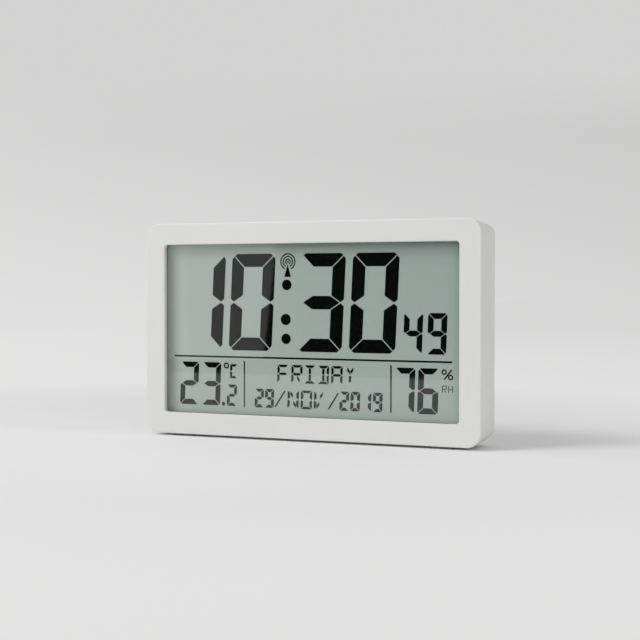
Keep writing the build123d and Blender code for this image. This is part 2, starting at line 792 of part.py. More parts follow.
    # Stand's tray, thumb notch and pin sockets
    with BuildSketch(front_plane(cover_back_y)):
        add(leg_outline.sketch)
        with Locations((0, hinge_z)):
            Rectangle(stand_width, stand_thickness)
        offset(amount=stand_gap, kind=Kind.INTERSECTION, mode=Mode.REPLACE)
    extrude(amount=cover_back_y - tray_floor_y, mode=Mode.SUBTRACT)
    with BuildSketch(front_plane(cover_back_y)):
        with Locations((0, thumb_z)):
            Circle(thumb_radius)
    extrude(amount=thumb_depth, mode=Mode.SUBTRACT)
    with BuildSketch(side_plane(-socket_x - socket_depth)):
        with Locations((hinge_y, hinge_z)):
            Circle(stand_pin_radius + stand_pin_play)
    extrude(amount=2 * (socket_x + socket_depth), mode=Mode.SUBTRACT)

    # Keyhole: its shape through the plate, a wider pocket for the screw head behind it
    with BuildSketch(front_plane(cover_back_y)):
        with Locations((0, keyhole_z)):
            Circle(keyhole_head_radius)
        with Locations((0, keyhole_z + keyhole_slot_length / 2)):
            Rectangle(keyhole_slot_width, keyhole_slot_length)
        with Locations((0, keyhole_z + keyhole_slot_length)):
            Circle(keyhole_slot_width / 2)
    extrude(amount=cover_thickness, mode=Mode.SUBTRACT)
    with BuildSketch(front_plane(cover_front_y)):
        with Locations((0, keyhole_z + keyhole_slot_length / 2)):
            Rectangle(2 * keyhole_room, keyhole_slot_length + 2 * keyhole_room)
    extrude(amount=keyhole_depth, mode=Mode.SUBTRACT)

    # Openings for the buttons, vents over the sensor, slots over the buzzer
    with BuildSketch(front_plane(cover_back_y)):
        with Locations(key_places):
            key_shape(button_gap)
        with Locations(reset_place):
            Circle(reset_radius + button_gap)
        with Locations(sensor_place):
            with GridLocations(0, vent_pitch, 1, vent_count):
                Rectangle(vent_length, vent_width)
        with Locations(buzzer_place):
            with GridLocations(0, sound_slot_pitch, 1, sound_slot_count):
                Rectangle(sound_slot_length, sound_slot_width)
    extrude(amount=cover_thickness, mode=Mode.SUBTRACT)

    # Screw holes
    with Locations(back_plane(cover_back_y)):
        with GridLocations(2 * post_x, 2 * post_z, 2, 2):
            CounterBoreHole(case_screw_radius + shank_gap, case_head_radius + head_gap, cover_thickness,
                            depth=case_hole_depth)
    for post_place_x, post_place_z in button_posts:
        with Locations(front_plane(button_board_back_y)):
            with Locations((post_place_x, post_place_z)):
                Hole(board_screw_radius + pilot_gap, depth=board_screw_length)
finish(rear_cover, "rear_cover")

# Button board with its screws, and the header that stands on the main board
button_board_front_y = button_board_back_y - button_board_thickness
button_board_width = row_length + switch_size + button_board_margin
header_place = (row_place[0], row_place[1] - header_drop)
with BuildPart() as button_board:
    with BuildSketch(front_plane(button_board_back_y)):
        with Locations(row_place):
            Rectangle(button_board_width, button_board_height)
        with Locations(button_posts):
            Circle(board_screw_radius + shank_gap, mode=Mode.SUBTRACT)
    extrude(amount=button_board_thickness)
finish(button_board, "button_board")

with BuildPart() as button_board_screws:
    with BuildSketch(front_plane(button_board_front_y)):
        with Locations(button_posts):
            Circle(board_head_radius)
    extrude(amount=board_head_height)
    with BuildSketch(front_plane(button_board_front_y + board_screw_length)):
        with Locations(button_posts):
            Circle(board_screw_radius)
    extrude(amount=board_screw_length)
finish(button_board_screws, "button_board_screws")

with BuildPart() as board_header:
    with BuildSketch(back_plane(board_back_y)):
        with Locations((-header_place[0], header_place[1])):
            Rectangle(header_width, header_height)
    extrude(amount=header_body)
    with BuildSketch(back_plane(board_back_y)):
        with Locations((-header_place[0], header_place[1])):
            with GridLocations(header_width / header_pin_count, 0, header_pin_count, 1):
                Rectangle(header_pin, header_pin)
    extrude(amount=button_board_front_y - board_back_y)
finish(board_header, "board_header")

# Switch housings with the holes that their plungers run in
with BuildPart() as switch_housings:
    with BuildSketch(front_plane(switch_back_y)):
        with Locations(button_places):
            Rectangle(switch_size, switch_size)
    extrude(amount=switch_height)
    with BuildSketch(front_plane(switch_back_y)):
        with Locations(button_places):
            Rectangle(plunger_size + 2 * plunger_play, plunger_size + 2 * plunger_play)
    extrude(amount=plunger_room, mode=Mode.SUBTRACT)
finish(switch_housings, "switch_housings")

# Buttons: a cap through the cover, a flange behind it, a stem down to the plunger of its switch
for name, place in zip(button_names, button_places):
    with BuildPart() as button:
        if name == "reset":
            face_width, face_height = 2 * reset_radius, 2 * reset_radius
            with BuildSketch(front_plane(cover_back_y - reset_sunk)):
                with Locations(place):
                    Circle(reset_radius)
            extrude(amount=cover_back_y - reset_sunk - flange_back_y)
        else:
            face_width, face_height = button_width, button_height
            with BuildSketch(front_plane(cover_back_y + button_proud)):
                with Locations(place):
                    key_shape(0)
            extrude(amount=cover_back_y + button_proud - flange_back_y)
            chamfer(button.faces().sort_by(Axis.Y)[-1].edges(), button_edge_chamfer)
        with BuildSketch(front_plane(flange_back_y)):
            with Locations(place):
                Rectangle(face_width + 2 * button_flange, face_height + 2 * button_flange)
        extrude(amount=button_flange_thickness)
    finish(button, f"{name}_button")

    with BuildPart() as plunger:
        with BuildSketch(front_plane(plunger_top_y)):
            with Locations(place):
                Rectangle(plunger_size, plunger_size)
        extrude(amount=plunger_height + plunger_depth)
    finish(plunger, f"{name}_plunger")

# Sensor board on its posts, with the humidity sensor behind the vents and the bead that reads the temperature
with BuildPart() as sensor_board:
    with BuildSketch(front_plane(sensor_board_back_y)):
        with Locations(sensor_place):
            Rectangle(sensor_board_width, sensor_board_height)
    extrude(amount=sensor_board_thickness)
finish(sensor_board, "sensor_board")

with BuildPart() as humidity_sensor:
    with BuildSketch(back_plane(sensor_board_back_y)):
        with Locations((-sensor_place[0], sensor_place[1])):
            Rectangle(sensor_size, sensor_size)
            Rectangle(sensor_window, sensor_window, mode=Mode.SUBTRACT)
    extrude(amount=sensor_thickness)
finish(humidity_sensor, "humidity_sensor")

bead_drop = (sensor_board_height + sensor_size) / 4
with BuildPart() as thermistor:
    with BuildSketch(side_plane(sensor_place[0] - bead_length / 2)):
        with Locations((sensor_board_back_y + bead_radius, sensor_place[1] - bead_drop)):
            Circle(bead_radius)
    extrude(amount=bead_length)
finish(thermistor, "thermistor")

# Buzzer: a round can on the step of its frame
with BuildPart() as buzzer:
    with BuildSketch(front_plane(cover_front_y - buzzer_step)):
        with Locations(buzzer_place):
            Circle(buzzer_radius)
    extrude(amount=buzzer_thickness)
finish(buzzer, "buzzer")

# Antenna: a ferrite rod with its winding, held in two arms of a cradle on the cover
coil_radius = rod_radius + coil_thickness
rod_y = cover_front_y - holder_thickness - coil_radius - holder_gap
rod_start_x = antenna_place[0] - rod_length / 2
with BuildPart() as ferrite_rod:
    with BuildSketch(side_plane(rod_start_x)):
        with Locations((rod_y, antenna_place[1])):
            Circle(rod_radius)
    extrude(amount=rod_length)
finish(ferrite_rod, "ferrite_rod")

with BuildPart() as antenna_coil:
    with BuildSketch(side_plane(antenna_place[0] - coil_length / 2)):
        with Locations((rod_y, antenna_place[1])):
            Circle(coil_radius)
            Circle(rod_radius, mode=Mode.SUBTRACT)
    extrude(amount=coil_length)
finish(antenna_coil, "antenna_coil")

with BuildPart() as antenna_holder:
    with BuildSketch(front_plane(cover_front_y)):
        with Locations(antenna_place):
            Rectangle(rod_length, holder_width)
    extrude(amount=holder_thickness)
    with BuildSketch(front_plane(cover_front_y)):
        with Locations(antenna_place):
            with GridLocations(rod_length - 2 * holder_end, 0, 2, 1):
                Rectangle(holder_arm, holder_width)
    extrude(amount=cover_front_y - rod_y)
    with BuildSketch(side_plane(rod_start_x)):
        with Locations((rod_y, antenna_place[1])):
            Circle(rod_radius)
    extrude(amount=rod_length, mode=Mode.SUBTRACT)
finish(antenna_holder, "antenna_holder")

# Cells: the upper one has its button end to the right, the lower one to the left
cells = (("upper_cell", 1, cell_pitch / 2), ("lower_cell", -1, -cell_pitch / 2))
for name, side, rise in cells:
    base_x = well_x - side * (well_length / 2 - contact_thickness - contact_gap - leaf_reach)
    shoulder = cell_length - nipple_length
    with BuildPart() as cell:
        with BuildSketch(side_plane(base_x)):
            with Locations((cell_y, well_z + rise)):
                Circle(cell_radius)
        extrude(amount=side * shoulder)
        with BuildSketch(side_plane(base_x + side * shoulder)):
            with Locations((cell_y, well_z + rise)):
                Circle(nipple_radius)
        extrude(amount=side * nipple_length)
    finish(cell, name)

# Contact plates: one bridges both cells at the right, two stand apart at the left
with BuildPart() as contact_plates:
    with BuildSketch(side_plane(well_x - well_length / 2)):
        with Locations((cell_y, well_z)):
            with GridLocations(0, cell_pitch, 1, 2):
                Rectangle(contact_size, contact_size)
    extrude(amount=contact_thickness)
    with BuildSketch(side_plane(well_x + well_length / 2)):
        with Locations((cell_y, well_z)):
            Rectangle(contact_size, cell_pitch + contact_size)
    extrude(amount=-contact_thickness)
finish(contact_plates, "contact_plates")

# Contact springs: a folded leaf from each of the flat ends' plates to its cell
with BuildPart() as contact_springs:
    for _, side, rise in cells:
        plate_x = well_x - side * (well_length / 2 - contact_thickness)
        crown_x = plate_x + side * leaf_reach
        with BuildSketch(Plane(origin=(0, 0, case_z + well_z + rise - leaf_width / 2))):
            Polygon((plate_x, cell_y - leaf_foot / 2), (crown_x, cell_y - leaf_crown / 2),
                    (crown_x, cell_y + leaf_crown / 2), (plate_x, cell_y + leaf_foot / 2), align=None)
            offset(amount=-leaf_thickness, kind=Kind.INTERSECTION, mode=Mode.SUBTRACT)
        extrude(amount=leaf_width)
finish(contact_springs, "contact_springs")
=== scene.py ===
import json
from math import cos, pi, radians, sin

import bmesh
import bpy
from mathutils import Matrix, Vector


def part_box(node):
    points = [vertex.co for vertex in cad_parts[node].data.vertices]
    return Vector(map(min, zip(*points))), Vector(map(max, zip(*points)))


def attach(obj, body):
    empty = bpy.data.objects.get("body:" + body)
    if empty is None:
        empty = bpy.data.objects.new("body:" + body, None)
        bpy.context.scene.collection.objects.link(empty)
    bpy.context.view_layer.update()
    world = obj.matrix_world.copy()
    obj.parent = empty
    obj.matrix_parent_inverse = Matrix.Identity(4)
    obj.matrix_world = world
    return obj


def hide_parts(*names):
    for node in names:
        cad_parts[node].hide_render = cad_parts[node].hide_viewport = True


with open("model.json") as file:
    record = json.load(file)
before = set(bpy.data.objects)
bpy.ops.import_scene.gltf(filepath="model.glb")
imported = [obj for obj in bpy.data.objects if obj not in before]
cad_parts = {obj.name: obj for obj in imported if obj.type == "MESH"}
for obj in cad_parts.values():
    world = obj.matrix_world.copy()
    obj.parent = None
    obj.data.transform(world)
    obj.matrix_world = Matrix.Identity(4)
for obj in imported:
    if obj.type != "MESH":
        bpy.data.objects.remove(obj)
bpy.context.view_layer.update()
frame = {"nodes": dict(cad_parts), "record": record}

MM = 0.001
MICRON = 0.000001
BLACK = (0.0, 0.0, 0.0)

# ---------------------------------------------------------------- finishes

MIX_COLOURS = (6, 7)            # the two colour sockets of a Mix node
MIX_COLOUR_RESULT = 2


class Flow:
    """A socket of a finish. Sums on it add their Math nodes."""

    def __init__(self, look, socket):
        self.look = look
        self.socket = socket

    def work(self, operation, *values):
        return self.look.node("ShaderNodeMath", {"operation": operation}, dict(enumerate(values)))

    def __add__(self, other):
        return self.work("ADD", self, other)

    def __radd__(self, other):
        return self.work("ADD", other, self)

    def __sub__(self, other):
        return self.work("SUBTRACT", self, other)

    def __rsub__(self, other):
        return self.work("SUBTRACT", other, self)

    def __mul__(self, other):
        return self.work("MULTIPLY", self, other)

    def __rmul__(self, other):
        return self.work("MULTIPLY", other, self)

    def __gt__(self, other):
        return self.work("GREATER_THAN", self, other)

    def __lt__(self, other):
        return self.work("LESS_THAN", self, other)

    def __abs__(self):
        return self.work("ABSOLUTE", self)

    def sine(self):
        return self.work("SINE", self)

    def swing(self, span):
        """A noise, moved to lie round zero and stretched to a span."""
        return (self - 0.5) * span

    def within(self, low, high):
        """0 below low, 1 above high and a straight ramp between them."""
        return self.look.node("ShaderNodeMapRange", {"clamp": True},
                              {"Value": self, "From Min": low, "From Max": high})


class Look:
    """Nodes of a material or of the sky, with the place on the piece that they start from."""

    def __init__(self, tree):
        self.tree = tree
        self.place = self.node("ShaderNodeTexCoord", {}, {}, "Object")

    def fill(self, node, sockets):
        for name, value in sockets.items():
            if isinstance(value, Flow):
                self.tree.links.new(value.socket, node.inputs[name])
            else:
                node.inputs[name].default_value = value

    def node(self, kind, settings, sockets, output=0):
        """Adds a node: its settings first, then the values or links of its sockets."""
        made = self.tree.nodes.new(kind)
        for name, value in settings.items():
            setattr(made, name, value)
        self.fill(made, sockets)
        return Flow(self, made.outputs[output])

    def noise(self, scale, detail=2.0, vector=None):
        return self.node("ShaderNodeTexNoise", {},
                         {"Vector": vector or self.place, "Scale": scale, "Detail": detail})

    def stretched(self, scales):
        """The place on the piece, drawn out or pressed together along its axes."""
        return self.node("ShaderNodeMapping", {"vector_type": "POINT"},
                         {"Vector": self.place, "Scale": scales})

    def along(self, axis):
        """The place on the piece along one axis, in metres."""
        return self.node("ShaderNodeSeparateXYZ", {}, {"Vector": self.place}, axis)

    def away_from(self, centre):
        """How far a place is from a centre, in metres."""
        run = self.node("ShaderNodeVectorMath", {"operation": "SUBTRACT"}, {0: self.place, 1: centre})
        return self.node("ShaderNodeVectorMath", {"operation": "LENGTH"}, {0: run}, "Value")

    def blend(self, mask, first, second):
        """A colour that goes from first to second as the mask goes from 0 to 1."""
        sides = {}
        for socket, colour in zip(MIX_COLOURS, (first, second)):
            sides[socket] = colour if isinstance(colour, Flow) else (*colour, 1.0)
        return self.node("ShaderNodeMix", {"data_type": "RGBA"}, {0: mask, **sides}, MIX_COLOUR_RESULT)

    def relief(self, height, depth):
        return self.node("ShaderNodeBump", {}, {"Strength": 1.0, "Distance": depth, "Height": height})


class Finish(Look):
    """A material of the part, made node by node round one surface shader."""

    def __init__(self, name, fixed=None):
        self.material = bpy.data.materials.new(name)
        self.material.use_nodes = True
        super().__init__(self.material.node_tree)
        self.shader = self.tree.nodes["Principled BSDF"]
        self.surface = Flow(self, self.shader.outputs[0])
        self.fill(self.shader, fixed or {})

    def feed(self, sockets):
        self.fill(self.shader, sockets)

    def close(self, mask, first, second):
        """Ends the finish in a surface that goes from first to second as the mask goes from 0 to 1."""
        mixed = self.node("ShaderNodeMixShader", {}, {0: mask, 1: first, 2: second})
        self.fill(self.tree.nodes["Material Output"], {"Surface": mixed})


def shade(colour, share):
    """The colour, darker or lighter by a share."""
    return tuple(min(1.0, part * (1 + share)) for part in colour)


def moulded(name, colour, roughness, grain_scale, grain_depth, spread=0.03):
    """Moulded plastic: an eroded grain, faint blotches and handled spots that shine a little more."""
    finish = Finish(name)
    blotches = finish.noise(16.0, detail=3.0)
    handled = finish.noise(55.0, detail=4.0)
    grain = finish.noise(grain_scale, detail=3.0)
    finish.feed({
        "Base Color": finish.blend(blotches.within(0.3, 0.7), shade(colour, -spread), colour),
        "Roughness": roughness + handled.swing(0.14) + grain.swing(0.1),
        "Normal": finish.relief(grain, grain_depth),
    })
    return finish


def plated(name, colour, roughness, draw_scales):
    """Bare or plated metal with the drawn lines of its making and duller patches."""
    finish = Finish(name, {"Metallic": 1.0})
    lines = finish.noise(1.0, detail=3.0, vector=finish.stretched(draw_scales))
    patches = finish.noise(180.0, detail=4.0)
    finish.feed({
        "Base Color": finish.blend(patches.within(0.35, 0.7), shade(colour, -0.12), colour),
        "Roughness": roughness + patches.swing(0.25) + lines.swing(0.12),
        "Normal": finish.relief(lines, 10 * MICRON),
    })
    return finish


def rubbery(name, colour, roughness, pore_scale, pore_depth):
    """Rubber or foam: small pores, and a paler bloom in patches."""
    finish = Finish(name, {"Specular IOR Level": 0.3})
    pores = finish.node("ShaderNodeTexVoronoi", {"feature": "F1"},
                        {"Vector": finish.place, "Scale": pore_scale}, "Distance")
    bloom = finish.noise(90.0, detail=4.0)
    finish.feed({
        "Base Color": finish.blend(bloom.within(0.45, 0.75), colour, shade(colour, 0.6)),
        "Roughness": roughness + bloom.swing(0.2),
        "Normal": finish.relief(pores, pore_depth),
    })
    return finish


def layered(name, colours, pitch, axis, roughness, fixed=None):
    """Fine layers or turns that lie side by side along one axis."""
    finish = Finish(name, fixed)
    wave = (finish.along(axis) * (2 * pi / pitch)).sine() * 0.5 + 0.5
    stain = finish.noise(150.0, detail=3.0)
    finish.feed({
        "Base Color": finish.blend(wave * 0.8 + stain * 0.2, *colours),
        "Roughness": roughness + stain.swing(0.2),
        "Normal": finish.relief(wave, pitch / 4),
    })
    return finish


def laminate(name, mask_colour, track_colour):
    """A circuit board: solder mask over raised tracks, whose colour shows through it."""
    finish = Finish(name, {"Coat Roughness": 0.2})
    upright = finish.node("ShaderNodeMapping", {}, {"Vector": finish.place, "Rotation": (pi / 2, 0, 0)})
    tracks = finish.node("ShaderNodeTexBrick", {"offset": 0.37, "squash": 0.6, "squash_frequency": 3},
                         {"Vector": upright, "Scale": 60.0, "Mortar Size": 0.012, "Mortar Smooth": 0.2,
                          "Brick Width": 0.9, "Row Height": 0.16}, "Fac")
    weave = finish.noise(1.0, vector=finish.stretched((900, 900, 2600)))
    stain = finish.noise(60.0, detail=3.0)
    covered = finish.blend(stain.within(0.3, 0.7), shade(mask_colour, -0.2), mask_colour)
    finish.feed({
        "Base Color": finish.blend(tracks, covered, track_colour),
        "Roughness": 0.32 + stain.swing(0.1) + weave.swing(0.1),
        "Normal": finish.relief(tracks + weave * 0.3, 30 * MICRON),
    })
    return finish


def lens_finish():
    """The clear front plate: what lies behind it shows through, and light glints on it."""
    index = 1.43
    finish = Finish("clear_acrylic")
    smears = finish.noise(38.0, detail=5.0)
    scratches = finish.noise(1.0, vector=finish.stretched((35, 35, 900)))
    bent = finish.relief(smears, 4 * MICRON)
    # On its way out of the plate, light meets the index the other way round
    leaving = finish.node("ShaderNodeNewGeometry", {}, {}, "Backfacing")
    rim = finish.node("ShaderNodeFresnel", {},
                      {"IOR": index - leaving * (index - 1 / index), "Normal": bent})
    clear = finish.node("ShaderNodeBsdfTransparent", {}, {"Color": (0.985, 0.99, 0.988, 1.0)})
    glint = finish.node("ShaderNodeBsdfAnisotropic", {},
                        {"Roughness": 0.02 + 0.03 * smears * scratches, "Normal": bent})
    finish.close(rim, clear, glint)
    return finish


def front_glass_finish():
    """The display's front glass: clear over its face, and matte where its two ends are ground."""
    ground_depth = 0.0002
    glass_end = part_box("lcd_front_glass")[1].x
    finish = Finish("front_glass", {"Base Color": (0.22, 0.24, 0.23, 1.0)})
    haze = finish.noise(70.0, detail=4.0)
    sparkle = finish.noise(4200.0, detail=1.0)
    clear = finish.node("ShaderNodeBsdfTransparent", {}, {"Color": (0.985, 0.995, 0.99, 1.0)})
    ground = abs(finish.along("X")) > glass_end - ground_depth
    finish.feed({
        "Roughness": 0.45 + haze * 0.12,
        "Normal": finish.relief(sparkle, 6 * MICRON),
    })
    finish.close(ground + haze * 0.002, clear, finish.surface)
    return finish


def display_finish():
    """The display's grey-green field, darker towards the right, made paler at its left end and foot by
    painted light, and dimmer beside the frame by painted shadow.
    """
    low_left, low_right = (0.435, 0.478, 0.448), (0.40, 0.455, 0.433)
    high_left, high_right = (0.47, 0.525, 0.47), (0.335, 0.41, 0.385)
    # Painted light: colours that make the field paler at its left end and along its foot
    painted_light_end_low, painted_light_end_high = (0.52, 0.57, 0.54), (0.53, 0.60, 0.58)
    painted_light_foot_colour = (0.48, 0.53, 0.50)
    cloud_colour = (0.40, 0.45, 0.42)
    grain_colour = (0.3, 0.34, 0.32)
    # Painted shadow: how dark the field is made beside the left wall and under the top of the frame
    wall_shade = 0.28
    frame_shade = 0.26

    finish = Finish("rear_glass", {"Specular IOR Level": 0.35})
    cloud = finish.noise(14.0)
    grain = finish.noise(3800.0, detail=1.0)
    x, z = finish.along("X"), finish.along("Z")
    across = x.within(-0.085, 0.05)
    up = z.within(0.03, 0.11)
    # Painted light: masks for the paler left end and foot
    painted_light_left_end = 1.0 - x.within(-0.088, -0.074)
    foot = 1.0 - z.within(0.0136, 0.019)
    # Painted shadow beside the left wall and under the top of the frame
    painted_wall_shadow = 1.0 - x.within(-0.0885, -0.082)
    painted_frame_shadow = z.within(0.1068, 0.1095) * x.within(-0.07, -0.02)

    middle_field = finish.blend(up, finish.blend(across, low_left, low_right),
                                finish.blend(across, high_left, high_right))
    # Painted light: paler at the left end and along the foot
    field = finish.blend(painted_light_left_end, middle_field, finish.blend(up, painted_light_end_low, painted_light_end_high))
    field = finish.blend(foot * 0.8, field, painted_light_foot_colour)
    # Painted shadow beside the left wall and under the top of the frame
    field = finish.blend(painted_wall_shadow * wall_shade, field, BLACK)
    field = finish.blend(painted_frame_shadow * frame_shade, field, BLACK)
    field = finish.blend(cloud.within(0.3, 0.7) * 0.5, field, cloud_colour)
    finish.feed({
        "Base Color": finish.blend(grain.within(0.35, 0.65) * 0.06, field, grain_colour),
        "Roughness": 0.5 + grain.swing(0.1),
        "Normal": finish.relief(grain, 8 * MICRON),
    })
    return finish


def sign_finish(name, colour, painted_reflection_colour):
    """A driven area of the display, uneven as its crystal turns the light, and paler in the lower rows
    by a painted reflection of the floor.
    """
    finish = Finish(name, {"Specular IOR Level": 0.02})
    uneven = finish.noise(240.0, detail=3.0)
    # Painted reflection of the floor: below these heights the area takes its paler colour
    above_painted_reflection = finish.along("Z").within(0.0345, 0.0395)
    finish.feed({
        "Base Color": finish.blend(uneven.within(0.3, 0.7) * 0.3,
                                   finish.blend(above_painted_reflection, painted_reflection_colour, colour), BLACK),
        "Roughness": 0.55 + uneven.swing(0.1),
        "Normal": finish.relief(uneven, 3 * MICRON),
    })
    return finish


def jacket_finish():
    """The scuffed sleeve of a cell: dark, with a pale ring and a green collar towards each end."""
    well_middle = 0.0666            # the middle of the battery well, where both cells lie
    collar_start = 0.0165
    ring_end = 0.0178
    finish = Finish("cell_sleeve", {"Coat Weight": 0.3, "Coat Roughness": 0.15})
    from_middle = abs(finish.along("X") - well_middle)
    collar = from_middle > collar_start
    pale_ring = collar * (from_middle < ring_end)
    scuff = finish.noise(260.0, detail=4.0)
    printed = finish.blend(collar, (0.035, 0.038, 0.042), (0.06, 0.2, 0.13))
    printed = finish.blend(pale_ring, printed, (0.6, 0.6, 0.57))
    finish.feed({
        "Base Color": finish.blend(scuff.within(0.62, 0.8) * 0.4, printed, (0.4, 0.4, 0.4)),
        "Roughness": 0.3 + scuff.within(0.5, 0.8) * 0.25,
        "Normal": finish.relief(scuff, 10 * MICRON),
    })
    return finish


case_finish = moulded("case_plastic", (0.765, 0.765, 0.755), roughness=0.42,
                      grain_scale=2600.0, grain_depth=22 * MICRON)
steel_finish = plated("screw_steel", (0.56, 0.56, 0.57), roughness=0.34, draw_scales=(300, 3000, 300))

slot_finishes = {
    "case_plastic": case_finish,
    "key_plastic": moulded("key_plastic", (0.66, 0.67, 0.67), roughness=0.36,
                           grain_scale=3000.0, grain_depth=15 * MICRON),
    "clear_acrylic": lens_finish(),
    "display_glass": front_glass_finish(),
    "seal_resin": moulded("seal_resin", (0.45, 0.47, 0.43), roughness=0.25,
                          grain_scale=900.0, grain_depth=10 * MICRON),
    "reflector_film": plated("reflector_film", (0.42, 0.46, 0.42), roughness=0.45,
                             draw_scales=(200, 200, 2400)),
    "foam": rubbery("foam", (0.03, 0.03, 0.03), roughness=0.85,
                    pore_scale=2200.0, pore_depth=200 * MICRON),
    "frame_plastic": moulded("frame_plastic", (0.66, 0.67, 0.66), roughness=0.5,
                             grain_scale=1500.0, grain_depth=30 * MICRON),
    "connector_rubber": layered("connector_rubber", ((0.42, 0.14, 0.13), (0.03, 0.02, 0.02)),
                                pitch=0.2 * MM, axis="X", roughness=0.55),
    "board_laminate": laminate("board_laminate", (0.02, 0.12, 0.055), (0.05, 0.24, 0.1)),
    "black_resin": moulded("black_resin", (0.018, 0.018, 0.019), roughness=0.22,
                           grain_scale=700.0, grain_depth=60 * MICRON, spread=0.2),
    "can_metal": plated("can_metal", (0.68, 0.68, 0.67), roughness=0.25, draw_scales=(2600, 260, 2600)),
    "capacitor_sleeve": moulded("capacitor_sleeve", (0.02, 0.03, 0.07), roughness=0.3,
                                grain_scale=1200.0, grain_depth=20 * MICRON, spread=0.15),
    "screw_steel": steel_finish,
    "foot_rubber": rubbery("foot_rubber", (0.16, 0.16, 0.16), roughness=0.72,
                           pore_scale=1800.0, pore_depth=50 * MICRON),
    "cell_jacket": jacket_finish(),
    "contact_nickel": plated("contact_nickel", (0.7, 0.66, 0.58), roughness=0.22,
                             draw_scales=(300, 2600, 300)),
    "switch_plastic": moulded("switch_plastic", (0.02, 0.02, 0.021), roughness=0.4,
                              grain_scale=1500.0, grain_depth=30 * MICRON, spread=0.15),
    "sensor_plastic": moulded("sensor_plastic", (0.7, 0.7, 0.68), roughness=0.35,
                              grain_scale=1900.0, grain_depth=10 * MICRON),
    "buzzer_brass": plated("buzzer_brass", (0.66, 0.48, 0.2), roughness=0.3,
                           draw_scales=(2200, 2200, 300)),
    "ferrite": moulded("ferrite", (0.05, 0.05, 0.055), roughness=0.6,
                       grain_scale=1400.0, grain_depth=60 * MICRON, spread=0.3),
    "copper_winding": layered("copper_winding", ((0.25, 0.08, 0.03), (0.62, 0.27, 0.11)),
                              pitch=0.3 * MM, axis="X", roughness=0.3,
                              fixed={"Metallic": 0.8, "Coat Weight": 0.4}),
}

node_finishes = {"lcd_rear_glass": display_finish()}

for subpart in frame["record"]["subparts"]:
    node = subpart["node"]
    finish = node_finishes.get(node, slot_finishes[subpart["material_slot"]])
    for slot_place in frame["nodes"][node].material_slots:
        slot_place.material = finish.material

# The clear plates let all the light through to the display
for node in ("display_lens", "lcd_front_glass"):
    frame["nodes"][node].visible_shadow = False
    frame["nodes"][node].visible_diffuse = False

# The second colour of each is the painted reflection of the floor in the lower rows
dark_sign = sign_finish("driven_area", (0.002, 0.0033, 0.0031), (0.031, 0.036, 0.034))
pale_sign = sign_finish("small_driven_area", (0.04, 0.05, 0.048), (0.06, 0.07, 0.067))

# ---------------------------------------------------------------- new pieces

same_point = 0.001              # corners this near to each other are one, in mm


def corners_of(parts):
    return [part for part in parts if isinstance(part, bmesh.types.BMVert)]


def loose_object(name, work):
    """An object from a worked mesh, with the mesh as it is."""
    mesh = bpy.data.meshes.new(name)
    work.to_mesh(mesh)
    work.free()
    made = bpy.data.objects.new(name, mesh)
    bpy.context.scene.collection.objects.link(made)
    return made


def finished(name, work, finishes, body, smooth_angle=0.0):
    """Turns a worked mesh in mm into a finished piece that rides on a body."""
    bmesh.ops.remove_doubles(work, verts=work.verts, dist=same_point)
    bmesh.ops.recalc_face_normals(work, faces=work.faces)
    bmesh.ops.scale(work, verts=work.verts, vec=(MM, MM, MM))
    piece = loose_object(name, work)
    for finish in finishes:
        piece.data.materials.append(finish.material)
    if smooth_angle:
        piece.data.shade_smooth()
        piece.data.set_sharp_from_angle(angle=smooth_angle)
    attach(piece, body)
    return piece


# The display's signs. Places are in mm from the middle of the display, as seen from the front.
rear_glass_low, rear_glass_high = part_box("lcd_rear_glass")
display_z = (rear_glass_low.z + rear_glass_high.z) / 2 / MM
display_y = rear_glass_low.y / MM
sign_proud = 0.06
sign_sunk = 0.02
sign_depth = (0.0, sign_proud + sign_sunk, 0.0)
round_steps = 36
arc_steps = 14


def display_point(across, up):
    """A place on the face of the signs."""
    return Vector((across, display_y - sign_proud, display_z + up))


def facing(centre):
    """Stands a flat shape up round a centre on the face of the signs."""
    return Matrix.Translation(display_point(*centre)) @ Matrix.Rotation(pi / 2, 4, "X")


def deepen(work, faces):
    """Pulls the flat faces of a driven area back into the glass."""
    grown = bmesh.ops.extrude_face_region(work, geom=faces)["geom"]
    bmesh.ops.translate(work, verts=corners_of(grown), vec=sign_depth)


def area(work, outline):
    """A driven area with straight edges."""
    corners = [work.verts.new(display_point(*corner)) for corner in outline]
    deepen(work, [work.faces.new(corners)])


def bar(work, start, end, width):
    """A straight line of a given width."""
    start, end = Vector(start), Vector(end)
    run = end - start
    side = Vector((-run.y, run.x)).normalized() * width / 2
    area(work, (start + side, start - side, end - side, end + side))


def disc(work, centre, radius):
    made = bmesh.ops.create_circle(work, cap_ends=True, segments=round_steps, radius=radius,
                                   matrix=facing(centre))
    deepen(work, list({face for vert in made["verts"] for face in vert.link_faces}))


def ring(work, centre, radius, line):
    """A round line with a given outer radius."""
    edges = set()
    for reach in (radius, radius - line):
        made = bmesh.ops.create_circle(work, cap_ends=False, segments=round_steps, radius=reach,
                                       matrix=facing(centre))
        edges.update(edge for vert in made["verts"] for edge in vert.link_edges)
    deepen(work, bmesh.ops.bridge_loops(work, edges=list(edges))["faces"])


def arc(work, centre, radius, line, start, sweep):
    """Part of a ring, from a start angle on."""
    ends = []
    for reach in (radius, radius - line):
        ends.append(work.verts.new(display_point(centre[0] + reach * cos(start),
                                                 centre[1] + reach * sin(start))))
    edge = work.edges.new(ends)
    before = set(work.faces)
    bmesh.ops.spin(work, geom=[*ends, edge], cent=display_point(*centre), axis=(0, -1, 0),
                   dvec=(0, 0, 0), angle=sweep, steps=arc_steps, use_merge=False, use_duplicate=False)
    deepen(work, [face for face in work.faces if face not in before])


# The strokes that each character drives, under the letters that stroke_outlines gives them
strokes_of = {
    "0": "abcdef", "1": "bc", "2": "abdeg", "3": "abcdg", "4": "bcfg", "6": "acdefg", "7": "abc",
    "9": "abcdfg", "A": "abcefg", "C": "adef", "D": "abcdil", "F": "aefg", "H": "bcefg", "I": "adil",
    "N": "bcefhm", "O": "abcdef", "R": "abefgm", "V": "efkn", "Y": "hkl",
}


